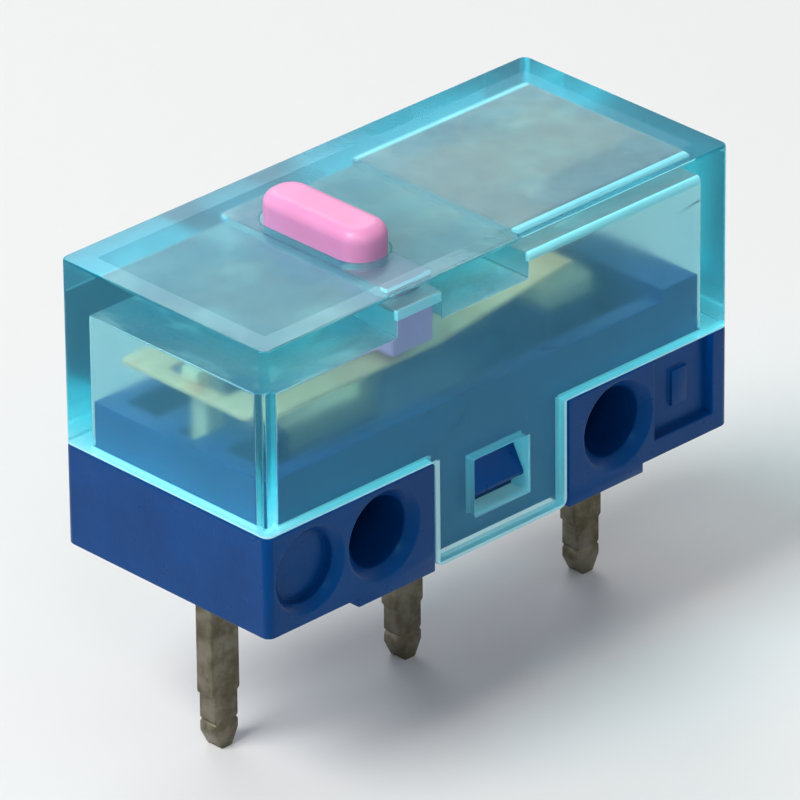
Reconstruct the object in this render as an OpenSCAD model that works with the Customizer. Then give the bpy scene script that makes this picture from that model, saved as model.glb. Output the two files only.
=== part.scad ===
// Subminiature snap-action micro switch, open 3-D model of every piece inside it.
// Frame: +X runs along the case from the plunger end to the contact end, +Y across it,
// +Z up through the plunger. The origin is on the circuit board, under the middle terminal.

/* [Case] */
// Length of the case, end to end
case_length = 12.8; // [12.6:0.1:16]
// Width of the case, side to side
case_width = 5.8; // [4.8:0.1:8]
// Height of the roof above the circuit board
case_height = 6.5; // [6:0.1:9]
// Height of the seam between base and cover above the circuit board
seam_height = 2.4; // [2.35:0.05:2.9]
// Radius of the case's upright corners
corner_radius = 0.25; // [0.1:0.05:0.5]

/* [Cover] */
// Thickness of the cover's four walls
wall = 0.55; // [0.4:0.05:0.7]
// Thickness of the roof round the plunger
roof = 1.15; // [0.9:0.05:1.3]
// Thickness of the roof above the contacts
roof_over_contacts = 0.6; // [0.4:0.05:0.7]
// Length of the thin stretch of roof, from the end wall's inner face
contact_pocket_length = 4.85; // [4.4:0.05:5.2]
// Depth of the plunger's guide slot below the roof's outer face
guide_depth = 0.55; // [0.4:0.05:0.7]
// Width of the latch tab on each long side
tab_width = 3.65; // [2.6:0.05:4]
// Height of the tab's lower edge above the circuit board
tab_lift = 0.05; // [0.02:0.01:0.2]
// Radius of the tab's lower corners
tab_corner = 0.2; // [0.1:0.05:0.4]
// Width of the latch window in the tab
window_width = 1.5; // [1:0.05:2]
// Height of the window's sill above the circuit board
window_sill = 0.8; // [0.5:0.05:1]
// Height of the window's top edge above the circuit board
window_top = 2.05; // [1.8:0.05:2.2]

/* [Base] */
// Height of the four standoff pads under the base
pad_height = 0.2; // [0.1:0.05:0.3]
// Length of a pad
pad_length = 2.1; // [1:0.1:2.2]
// Width of a pad, in from the side of the case
pad_width = 1.2; // [0.6:0.1:1.6]
// Height of the rim that stands up inside the cover, above the seam
rim_height = 1.05; // [0.6:0.05:1.2]
// Thickness of that rim
rim = 0.45; // [0.3:0.05:0.5]
// Height of the end block that holds the tall terminal, above the seam
end_block_height = 1.3; // [1.1:0.05:1.6]
// Length of the end block
end_block_length = 1; // [0.6:0.1:1.1]
// How far the latch nub stands out of the tab's recess
nub_reach = 0.47; // [0.2:0.01:0.5]
// Height of the latch nub, from the foot of its ramp to its catch
nub_height = 0.85; // [0.4:0.05:0.9]
// Height of the nub's blunt lower edge
nub_lip = 0.1; // [0.05:0.01:0.2]

/* [Mounting holes] */
// Diameter of the two mounting holes
hole_diameter = 1.5; // [1.3:0.05:1.55]
// Distance between the two mounting holes
hole_pitch = 6.5; // [6:0.1:6.6]
// Height of the hole centres above the circuit board
hole_height = 1.35; // [1.25:0.05:1.4]
// Chamfer at the mouth of each hole and round recess
hole_chamfer = 0.22; // [0.05:0.01:0.24]

/* [Side recesses] */
// Distance of the blind round recess from the plunger end
blind_inset = 1.14; // [1.1:0.02:1.3]
// Depth of the blind round recess
blind_depth = 0.35; // [0.25:0.05:0.5]
// Length of the square recess at the contact end
panel_length = 1.7; // [1:0.1:1.7]
// Distance of the square recess from the contact end
panel_inset = 0.45; // [0.3:0.05:1]
// Height of the square recess's sill above the circuit board
panel_sill = 0.6; // [0.4:0.05:1]
// Depth of the square recess
panel_depth = 0.2; // [0.1:0.05:0.4]
// Length of the small raised pad in the square recess, along the case
panel_mark_length = 0.45; // [0.2:0.05:0.8]
// Height of that raised pad, up the case
panel_mark_height = 0.8; // [0.4:0.05:1.2]
// How far that raised pad stands out of the recess
panel_mark_reach = 0.08; // [0.04:0.01:0.1]

/* [Plunger] */
// Distance of the plunger from the plunger end of the case
plunger_inset = 4.42; // [4:0.02:4.6]
// Length of the plunger's head, across the case
plunger_length = 3; // [2:0.1:3.4]
// Width of the plunger's head and foot, along the case
plunger_width = 1.1; // [0.9:0.05:1.3]
// Corner radius of the plunger's head in plan
plunger_corner = 0.5; // [0.2:0.05:0.54]
// Rounding of the head's top edge
plunger_crown = 0.28; // [0.1:0.02:0.3]
// How far the plunger stands out of the roof when free
plunger_rise = 0.6; // [0.5:0.05:0.9]
// How far the plunger can be pressed
plunger_travel = 0.45; // [0.3:0.05:0.5]

/* [Terminals] */
// Distance between neighbouring terminals
pin_pitch = 5.08; // [4.9:0.02:5.1]
// Length of the terminals below the circuit board
pin_length = 3.75; // [2:0.05:5]
// Width of the terminals along the case
pin_width = 0.76; // [0.6:0.02:1]
// How far each narrow edge steps in on the lower part of a terminal
pin_step = 0.06; // [0.02:0.01:0.1]
// Height of that step above the tip
pin_step_height = 1.25; // [1:0.05:1.6]
// Depth of the nick in each narrow edge, below the step
pin_nick = 0.05; // [0.02:0.01:0.08]
// Height of the nick above the tip
pin_nick_height = 0.6; // [0.5:0.05:0.8]
// How far the tip tapers in on each side
pin_taper = 0.18; // [0.05:0.01:0.22]
// Height of the tapered tip
pin_taper_height = 0.35; // [0.1:0.05:0.4]
// Thickness of the terminals' sheet metal
sheet = 0.45; // [0.3:0.05:0.5]
// Height of the step inside the base, where two terminals move over to the side
jog_height = 0.9; // [0.6:0.05:1.2]
// Length of the two contact plates along the case
plate_length = 1.2; // [1:0.1:1.4]

/* [Contacts] */
// Diameter of the contact rivets
contact_diameter = 0.9; // [0.6:0.05:1.1]
// Height of a contact's face above the metal that it is riveted to
contact_height = 0.22; // [0.15:0.01:0.25]
// Bevel round a contact's face
contact_bevel = 0.1; // [0.05:0.01:0.14]
// Diameter of the rivet's shank, through the blade
shank_diameter = 0.46; // [0.3:0.02:0.56]
// Gap that the moving contact crosses
contact_gap = 0.45; // [0.3:0.05:0.5]
// Distance of the contacts back from the last terminal's axis
contact_offset = 1.58; // [1.4:0.02:1.8]

/* [Snap blade] */
// Thickness of the blade's spring strip
blade_sheet = 0.08; // [0.05:0.01:0.12]
// Height of the blade at its hook, above the seam
blade_lift = 2.05; // [1.9:0.05:2.2]
// Width of each of the blade's two outer arms
arm_width = 0.95; // [0.6:0.05:1]
// Width of the tongue between the arms
tongue_width = 0.9; // [0.6:0.05:1]
// Width of the blade's nose, round the moving contact
nose_width = 2; // [1.2:0.1:2.4]
// How far the tongue bows upwards
tongue_bow = 0.45; // [0.2:0.05:0.6]

// Distance from the blade's hook to the end of its strip
crossbar = 0.4; // [0.3:0.05:0.5]
// Where the arms start to rise towards the nose, from the middle of the case
arm_bend_x = -0.9; // [-1.3:0.1:0]
// How far the nose runs back from the middle of the contact
nose_back = 0.9; // [0.7:0.05:1.1]
// How far the nose runs on past the middle of the contact
nose_front = 0.75; // [0.6:0.05:0.85]
// How far the full width of the arms reaches into the nose
nose_shoulder = 0.2; // [0.15:0.05:0.3]
// Corner radius of the strip in plan
blade_corner = 0.15; // [0.05:0.05:0.2]

/* [Hook and anchor] */
// Height of the terminals' spines above the base's floor
spine_height = 0.6; // [0.4:0.05:0.8]
// Distance from the first terminal's axis out to the edge that the blade hooks on
hook_offset = 0.08; // [0.04:0.02:0.12]
// Width of the hook's post
hook_post_width = 0.5; // [0.4:0.05:0.6]
// How far the hook's nose reaches out over the blade
hook_nose = 0.25; // [0.15:0.05:0.3]
// Height of the hook's nose
hook_nose_height = 0.25; // [0.15:0.05:0.3]
// Gap between the blade and the hook's nose
hook_nose_gap = 0.11; // [0.1:0.01:0.15]
// Width of the anchor that the tongue pushes on
anchor_width = 0.5; // [0.4:0.05:0.7]
// Distance of the anchor's face from the middle of the plunger
anchor_reach = 0.83; // [0.7:0.01:1]
// Height of the anchor above the base's floor
anchor_height = 1.5; // [1.3:0.05:1.55]
// Depth of the tongue's tip below the top of the anchor
tongue_tip_depth = 0.22; // [0.1:0.02:0.4]

/* [Clearances] */
// Gap between the plunger and the slot that guides it
plunger_play = 0.06; // [0.04:0.01:0.1]
// Gap between the plunger's foot and the cover's side walls
foot_gap = 0.2; // [0.1:0.05:0.5]
// Gap between the pressed plunger's foot and the blade
press_gap = 0.02; // [0.01:0.01:0.1]
// Gap between base and cover where one slides into the other
fit_gap = 0.04; // [0.02:0.01:0.06]
// Gap between contacts that meet, and between the blade and its hook
touch_gap = 0.03; // [0.02:0.01:0.04]
// Gap between the inner metal parts and the plastic beside them
inner_gap = 0.06; // [0.04:0.01:0.1]
// Gap between the blade's edges and the cover's side walls
blade_gap = 0.55; // [0.4:0.05:0.8]

/* [Hidden] */
$fn = 64;
cut = 1;                      // how far a cutting shape runs past the face that it cuts
crown_steps = 3;              // steps in the plunger's rounded top edge
crown_slice = 0.01;           // thickness of the slices that those steps join
crown_facets = 32;            // sides of a full circle in those slices
tongue_steps = 12;            // slices in the tongue's bow

half_length = case_length/2;
half_width = case_width/2;
inner_half_length = half_length - wall;
inner_half_width = half_width - wall;
roof_face = case_height - roof;
thin_roof_face = case_height - roof_over_contacts;
pocket_start = inner_half_length - contact_pocket_length;

rim_half_length = inner_half_length - fit_gap;
rim_half_width = inner_half_width - fit_gap;
rim_inner_width = rim_half_width - rim;
rim_top = seam_height + rim_height;
end_block_top = seam_height + end_block_height;
recess_floor = half_width - wall - fit_gap;

pad_start = tab_width/2 + fit_gap;
hole_radius = hole_diameter/2;
nub_top = window_top - fit_gap;
nub_width = window_width - 2*fit_gap;

plunger_x = -half_length + plunger_inset;
plunger_top = case_height + plunger_rise;
guide_face = case_height - guide_depth;
foot_top = guide_face - fit_gap;
foot_length = 2*(inner_half_width - foot_gap);

upright_y = rim_inner_width - inner_gap;    // outer face of the two offset terminals
contact_x = pin_pitch - contact_offset;
plate_start = contact_x - plate_length/2;

closed_plate_top = thin_roof_face - inner_gap;
closed_face = closed_plate_top - sheet - contact_height;
blade_high = closed_face - touch_gap - contact_height;      // blade's top face at its nose
open_face = blade_high - blade_sheet - contact_height - contact_gap - touch_gap;
open_plate_top = open_face - contact_height;
shank_radius = shank_diameter/2;

blade_low = seam_height + blade_lift + blade_sheet/2;       // blade's top face at its hook
blade_half_width = inner_half_width - blade_gap;
hook_x = -pin_pitch - hook_offset;                          // line that the blade turns about
nose_start = contact_x - nose_back;
nose_end = contact_x + nose_front;

// The foot stops just above the blade when both have moved by their whole travel
foot_drop = contact_gap*(plunger_x - plunger_width/2 - hook_x)/(contact_x - hook_x);
foot_bottom = blade_low + plunger_travel - foot_drop + press_gap;

spine_top = seam_height + spine_height;
anchor_x = plunger_x + anchor_reach;                        // face that the tongue pushes on
anchor_top = seam_height + anchor_height;
tongue_tip = anchor_top - tongue_tip_depth;
tongue_root = nose_start + blade_corner;

// Rectangle with round corners, centred on the origin
module rounded_plan(size, radius) {
    square([size.x, size.y - 2*radius], center = true);
    square([size.x - 2*radius, size.y], center = true);
    for (sx = [-1, 1], sy = [-1, 1])
        translate([sx*(size.x/2 - radius), sy*(size.y/2 - radius)])
            circle(radius);
}

// Upright block with round corners, between two heights
module rounded_block(size, radius, low, high) {
    translate([0, 0, low])
        linear_extrude(high - low)
            rounded_plan(size, radius);
}

// Box given by its lowest and highest corners
module box(low, high) {
    translate(low)
        cube(high - low);
}

// Flat stamping: an outline in X and Z, as thick as the sheet, with its outer face at face_y
module stamping(face_y, thickness) {
    translate([0, face_y, 0])
        rotate([90, 0, 0])
            linear_extrude(thickness)
                children();
}

// Shape repeated on both long sides of the case
module both_sides() {
    children();
    mirror([0, 1, 0])
        children();
}

// Round cutter on the case's -Y side, with a chamfered mouth
module round_mouth(x, depth) {
    translate([x, -half_width, hole_height])
        rotate([-90, 0, 0]) {
            translate([0, 0, -cut])
                cylinder(h = depth + cut, r = hole_radius);
            cylinder(h = hole_chamfer, r1 = hole_radius + hole_chamfer, r2 = hole_radius);
        }
}

// Two through holes with chamfered mouths
module mounting_holes() {
    for (x = [-hole_pitch/2, hole_pitch/2]) {
        translate([x, 0, hole_height])
            rotate([90, 0, 0])
                cylinder(h = case_width + 2*cut, r = hole_radius, center = true);
        both_sides()
            round_mouth(x, hole_chamfer);
    }
}

// Wedge that the cover's window snaps over
module latch_nub() {
    translate([-nub_width/2, 0, 0])
        rotate([90, 0, 90])
            linear_extrude(nub_width)
                polygon([
                    [-recess_floor, nub_top],
                    [-recess_floor - nub_reach, nub_top - nub_height + nub_lip],
                    [-recess_floor - nub_reach, nub_top - nub_height],
                    [-recess_floor, nub_top - nub_height]
                ]);
}

// Shallow square recess near the contact end, with a small raised pad in it
module side_panel() {
    centre = half_length - panel_inset - panel_length/2;
    floor_y = -half_width + panel_depth;
    middle = (panel_sill + seam_height)/2;
    difference() {
        box([centre - panel_length/2, -half_width - cut, panel_sill],
            [centre + panel_length/2, floor_y, seam_height + cut]);
        box([centre - panel_mark_length/2, floor_y - panel_mark_reach,
                middle - panel_mark_height/2],
            [centre + panel_mark_length/2, floor_y + cut, middle + panel_mark_height/2]);
    }
}

// Walls that stand up inside the cover and centre it
module rim() {
    difference() {
        box([-rim_half_length, -rim_half_width, seam_height],
            [rim_half_length, rim_half_width, rim_top]);
        box([-rim_half_length + rim, -rim_inner_width, seam_height - cut],
            [rim_half_length - rim, rim_inner_width, rim_top + cut]);
    }
}

// Blocks on the base's floor that carry the terminals
module terminal_seats() {
    box([rim_half_length - end_block_length, -rim_half_width, seam_height],
        [rim_half_length, rim_half_width, end_block_top]);
    box([plate_start, -nose_width/2, seam_height],
        [plate_start + plate_length, upright_y, open_plate_top - sheet]);
    box([-rim_half_length, -arm_width, seam_height],
        [-pin_pitch + pin_width/2 + rim, arm_width, rim_top]);
}

module base() {
    color("#0f4f9e")
    difference() {
        union() {
            rounded_block([case_length, case_width], corner_radius, pad_height, seam_height);
            for (side = [-1, 1])
                both_sides()
                    box([side > 0 ? pad_start : -pad_start - pad_length, -half_width, 0],
                        [side > 0 ? pad_start + pad_length : -pad_start, -half_width + pad_width,
                            pad_height]);
            rim();
            terminal_seats();
        }
        both_sides() {
            difference() {
                box([-tab_width/2 - fit_gap, -half_width - cut, -cut],
                    [tab_width/2 + fit_gap, -recess_floor, seam_height]);
                latch_nub();
            }
            round_mouth(-half_length + blind_inset, blind_depth);
            side_panel();
        }
        mounting_holes();
        common_stamping();
        open_stamping();
        closed_stamping();
    }
}

module tab() {
    height = seam_height - tab_lift;
    difference() {
        translate([0, -half_width + wall, tab_lift + height/2])
            rotate([90, 0, 0])
                linear_extrude(wall)
                    union() {
                        rounded_plan([tab_width, height], tab_corner);
                        translate([-tab_width/2, 0])
                            square([tab_width, height/2]);
                    }
        box([-window_width/2, -half_width - cut, window_sill],
            [window_width/2, -half_width + wall + cut, window_top]);
    }
}

module cover() {
    color("#5fd0e6", 0.5) {
        difference() {
            rounded_block([case_length, case_width], corner_radius, seam_height, case_height);
            box([-inner_half_length, -inner_half_width, seam_height - cut],
                [inner_half_length, inner_half_width, roof_face]);
            box([pocket_start, -inner_half_width, roof_face - cut],
                [inner_half_length, inner_half_width, thin_roof_face]);
            box([plunger_x - plunger_width/2 - plunger_play, -inner_half_width, roof_face - cut],
                [plunger_x + plunger_width/2 + plunger_play, inner_half_width, guide_face]);
            translate([plunger_x, 0, 0])
                rounded_block([plunger_width + 2*plunger_play, plunger_length + 2*plunger_play],
                    plunger_corner + plunger_play, guide_face - cut, case_height + cut);
        }
        both_sides()
            tab();
    }
}

// One slice of the plunger's head: thin, and drawn in by the rounding at that height
module crown_slice(angle) {
    inset = plunger_crown*(1 - cos(angle));
    translate([0, 0, plunger_top - plunger_crown + plunger_crown*sin(angle) - crown_slice])
        linear_extrude(crown_slice)
            rounded_plan([plunger_width - 2*inset, plunger_length - 2*inset],
                plunger_corner - inset, $fn = crown_facets);
}

module plunger() {
    step = 90/crown_steps;
    color("#f39cc6")
    translate([plunger_x, 0, 0]) {
        rounded_block([plunger_width, plunger_length], plunger_corner, foot_top - fit_gap,
            plunger_top - plunger_crown);
        for (i = [0 : crown_steps - 1])
            hull() {
                crown_slice(i*step);
                crown_slice((i + 1)*step);
            }
        box([-plunger_width/2, -foot_length/2, foot_bottom],
            [plunger_width/2, foot_length/2, foot_top]);
    }
}

// Outline of a terminal's leg, from its tapered tip up to a height
module leg(x, top) {
    half = pin_width/2;
    edge = half - pin_step;
    step = -pin_length + pin_step_height;
    nick = -pin_length + pin_nick_height;
    side = [
        [half, top], [half, step], [edge, step - pin_step],
        [edge, nick + pin_nick], [edge - pin_nick, nick], [edge, nick - pin_nick],
        [edge, -pin_length + pin_taper_height], [edge - pin_taper, -pin_length]
    ];
    last = len(side) - 1;
    polygon(concat(
        [for (point = side) [x - point.x, point.y]],
        [for (i = [last : -1 : 0]) [x + side[i].x, side[i].y]]
    ));
}

// Flat stamping with the hook that the blade hangs on and the anchor for its tongue
module common_stamping() {
    post = hook_x + touch_gap;
    nose_low = blade_low + hook_nose_gap;
    stamping(sheet/2, sheet)
        union() {
            leg(-pin_pitch, spine_top);
            translate([post, seam_height])
                square([hook_post_width, nose_low + hook_nose_height - seam_height]);
            translate([post - hook_nose, nose_low])
                square([hook_nose + hook_post_width, hook_nose_height]);
            translate([-pin_pitch, seam_height])
                square([anchor_x + pin_pitch, spine_height]);
            translate([anchor_x - anchor_width, seam_height])
                square([anchor_width, anchor_top - seam_height]);
        }
}

// Leg at the middle of the case, with the step over to the offset upright inside the base
module stepped_leg(x) {
    stamping(sheet/2, sheet)
        leg(x, jog_height + sheet);
    box([x - pin_width/2, 0, jog_height],
        [x + pin_width/2, upright_y, jog_height + sheet]);
}

// Plate bent over towards the middle from an upright at the side, along X
module bent_plate(start, end, top) {
    translate([start, 0, 0])
        rotate([90, 0, 90])
            linear_extrude(end - start)
                union() {
                    translate([-nose_width/2, top - sheet])
                        square([nose_width/2 + upright_y - sheet, sheet]);
                    translate([upright_y - sheet, top - sheet])
                        intersection() {
                            circle(sheet);
                            square(sheet);
                        }
                }
}

// Low terminal: its plate lies under the moving contact
module open_stamping() {
    stepped_leg(0);
    stamping(upright_y, sheet)
        union() {
            translate([-pin_width/2, jog_height])
                square([pin_width, spine_top - jog_height]);
            translate([-pin_width/2, seam_height])
                square([plate_start + plate_length + pin_width/2, spine_height]);
            translate([plate_start, seam_height])
                square([plate_length, open_plate_top - sheet - seam_height]);
        }
    bent_plate(plate_start, plate_start + plate_length, open_plate_top);
}

// Tall terminal: it rises past the blade's nose and bends over the moving contact
module closed_stamping() {
    stepped_leg(pin_pitch);
    stamping(upright_y, sheet)
        translate([pin_pitch - pin_width/2, jog_height])
            square([pin_width, closed_plate_top - sheet - jog_height]);
    bent_plate(plate_start, pin_pitch + pin_width/2, closed_plate_top);
}

module common_terminal() {
    color("#b9ad8c")
    common_stamping();
}

module normally_open_terminal() {
    color("#b9ad8c")
    open_stamping();
}

module normally_closed_terminal() {
    color("#b9ad8c")
    closed_stamping();
}

// Bowed strip of the tongue, from the blade's nose back and down to its tip
function tongue_point(t) = [
    tongue_root*(1 - t) + (anchor_x + inner_gap)*t,
    blade_high*(1 - t) + tongue_tip*t + tongue_bow*4*t*(1 - t)
];

module blade_side_view() {
    polygon([
        [hook_x - crossbar, blade_low - blade_sheet], [arm_bend_x, blade_low - blade_sheet],
        [nose_start, blade_high - blade_sheet], [nose_end, blade_high - blade_sheet],
        [nose_end, blade_high], [nose_start, blade_high],
        [arm_bend_x, blade_low], [hook_x - crossbar, blade_low]
    ]);
}

module tongue_side_view() {
    steps = [for (i = [0 : tongue_steps]) i/tongue_steps];
    upper = [for (t = steps) tongue_point(t)];
    lower = [for (i = [tongue_steps : -1 : 0]) tongue_point(steps[i]) - [0, blade_sheet]];
    polygon(concat(upper, lower));
}

// Outline of the blade seen from above: two arms, a crossbar at each end and a narrower nose
module blade_plan() {
    window_half = blade_half_width - arm_width;
    shoulder = nose_start + nose_shoulder;
    difference() {
        union() {
            translate([(hook_x - crossbar + shoulder)/2, 0])
                rounded_plan([shoulder - hook_x + crossbar, 2*blade_half_width], blade_corner);
            translate([(nose_start + nose_end)/2, 0])
                rounded_plan([nose_end - nose_start, nose_width], blade_corner);
        }
        translate([(hook_x + nose_start)/2, 0])
            rounded_plan([nose_start - hook_x, 2*window_half], blade_corner);
        translate([contact_x, 0])
            circle(shank_radius);
    }
}

module snap_blade() {
    color("#d8b27c") {
        intersection() {
            stamping(blade_half_width, 2*blade_half_width)
                blade_side_view();
            linear_extrude(case_height)
                blade_plan();
        }
        stamping(tongue_width/2, tongue_width)
            tongue_side_view();
    }
}

// Contact face: a low disc with a bevelled edge, standing on z = 0
module contact_head() {
    cylinder(h = contact_height - contact_bevel, r = contact_diameter/2);
    translate([0, 0, contact_height - contact_bevel])
        cylinder(h = contact_bevel, r1 = contact_diameter/2,
            r2 = contact_diameter/2 - contact_bevel);
}

// Rivet through the blade, with a face on both sides
module moving_contact() {
    color("#cfcfc8")
    translate([contact_x, 0, 0]) {
        translate([0, 0, blade_high])
            contact_head();
        translate([0, 0, blade_high - blade_sheet])
            mirror([0, 0, 1])
                contact_head();
        translate([0, 0, blade_high - blade_sheet])
            cylinder(h = blade_sheet, r = shank_radius);
    }
}

module normally_open_contact() {
    color("#cfcfc8")
    translate([contact_x, 0, open_plate_top])
        contact_head();
}

module normally_closed_contact() {
    color("#cfcfc8")
    translate([contact_x, 0, closed_plate_top - sheet])
        mirror([0, 0, 1])
            contact_head();
}

base();
cover();
plunger();
common_terminal();
normally_open_terminal();
normally_closed_terminal();
snap_blade();
moving_contact();
normally_open_contact();
normally_closed_contact();
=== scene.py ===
"""Looks of a subminiature micro switch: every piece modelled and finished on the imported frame."""

import logging
import math
from collections.abc import Callable, Iterator
from contextlib import contextmanager
from dataclasses import dataclass
from enum import Enum
from functools import reduce

import bmesh
import bpy
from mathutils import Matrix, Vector


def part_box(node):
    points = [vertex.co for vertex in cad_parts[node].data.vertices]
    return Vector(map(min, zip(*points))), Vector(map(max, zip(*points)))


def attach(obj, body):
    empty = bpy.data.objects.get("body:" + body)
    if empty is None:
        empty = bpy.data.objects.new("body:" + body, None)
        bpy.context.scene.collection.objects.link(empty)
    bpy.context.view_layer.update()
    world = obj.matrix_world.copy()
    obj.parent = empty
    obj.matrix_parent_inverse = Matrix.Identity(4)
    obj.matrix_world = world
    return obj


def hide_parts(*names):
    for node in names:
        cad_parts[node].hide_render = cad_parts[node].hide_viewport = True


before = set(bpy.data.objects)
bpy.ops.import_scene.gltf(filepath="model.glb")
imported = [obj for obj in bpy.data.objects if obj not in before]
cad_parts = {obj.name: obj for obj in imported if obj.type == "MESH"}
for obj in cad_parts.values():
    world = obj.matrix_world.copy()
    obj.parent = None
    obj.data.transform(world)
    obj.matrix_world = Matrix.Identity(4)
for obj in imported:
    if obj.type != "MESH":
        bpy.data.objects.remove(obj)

MM = 0.001
CUT = 1.0 * MM  # how far a cutting tool runs past the face that it cuts
WELD = 0.0005 * MM  # corners nearer than this are one corner
LEVEL = 4 * WELD  # corners nearer than this to a plane lie in it
STRAIGHT = 0.99  # an edge runs along an axis if this share of it does
DECIMALS = 8  # corners are rounded to a hundredth of a micron
LOG = logging.getLogger("micro_switch")

Point = tuple[float, float, float]
Colour = tuple[float, float, float]
Span = tuple[float, float]
Socket = bpy.types.NodeSocket
Value = Socket | float | Colour
Part = bmesh.types.BMVert | bmesh.types.BMEdge | bmesh.types.BMFace
Test = Callable[[Part], bool]

FULL: Span = (0.0, 1.0)
MOST: Span = (0.3, 0.7)  # where nearly all values of a noise lie


class Body(Enum):
    """The bodies that the pieces ride on."""

    CASE = "case"
    PLUNGER = "plunger"
    BLADE = "contact_blade"


class Slot(Enum):
    """The record's material slots."""

    BASE = "base_plastic"
    COVER = "cover_plastic"
    PLUNGER = "plunger_plastic"
    TERMINAL = "terminal_metal"
    BLADE = "blade_metal"
    CONTACT = "contact_metal"


class Axis(Enum):
    """The frame's three directions."""

    X = 0
    Y = 1
    Z = 2


class Element(Enum):
    """What an operator can work on in a mesh."""

    CORNER = "VERT"
    EDGE = "EDGE"
    FACE = "FACE"


class Combining(Enum):
    """The two ways in which solids are put together."""

    CUT = "DIFFERENCE"
    JOIN = "UNION"


# --- Modelling ---


def about(middle: float, half: float) -> Span:
    """The span that reaches as far to either side of its middle."""
    return middle - half, middle + half


def along(axis: Axis) -> Test:
    """A test for edges that run along one direction."""
    return lambda edge: abs((edge.verts[1].co - edge.verts[0].co).normalized()[axis.value]) > STRAIGHT


def lying_in(axis: Axis, place: float) -> Test:
    """A test for corners, edges and faces in the plane that faces the axis at a place along it."""
    return lambda part: all(
        abs(corner.co[axis.value] - place) < LEVEL for corner in getattr(part, "verts", [part])
    )


def meeting(*tests: Test) -> Test:
    """A test that a part passes if it passes all of those given."""
    return lambda part: all(test(part) for test in tests)


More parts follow.
